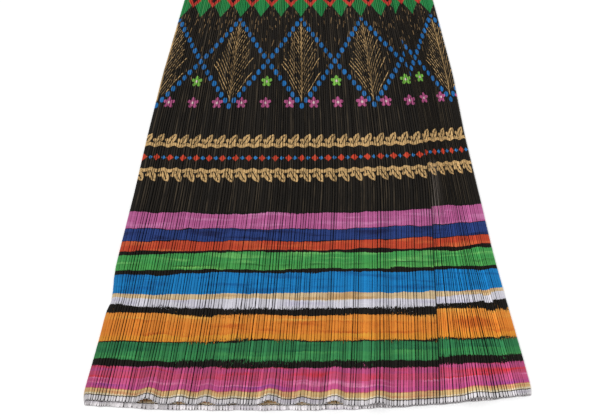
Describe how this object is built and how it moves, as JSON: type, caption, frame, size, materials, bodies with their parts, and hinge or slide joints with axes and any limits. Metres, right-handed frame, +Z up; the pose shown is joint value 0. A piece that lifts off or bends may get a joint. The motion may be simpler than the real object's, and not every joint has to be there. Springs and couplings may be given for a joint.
{
  "type": "pleated skirt",
  "caption": "Finely pleated A-line skirt with a striped, patterned print and an elastic waistband, laid flat.",
  "frame": {"origin": "middle of the bounding box in X and Y, on the surface that the skirt lies on", "axes": "+Y from the hem to the waist, +X towards the side where the seam shows, +Z up, away from the surface"},
  "size_m": [0.5816, 0.8748, 0.0183],
  "materials": {
    "printed_cloth": "heat-set pleated polyester, soft sheen, printed with bands of colour on black",
    "waistband_cloth": "plain black polyester casing over elastic, matt"
  },
  "bodies": {
    "root": {"front_panel": "printed_cloth", "back_panel": "printed_cloth", "waistband": "waistband_cloth"}
  },
  "joints": []
}
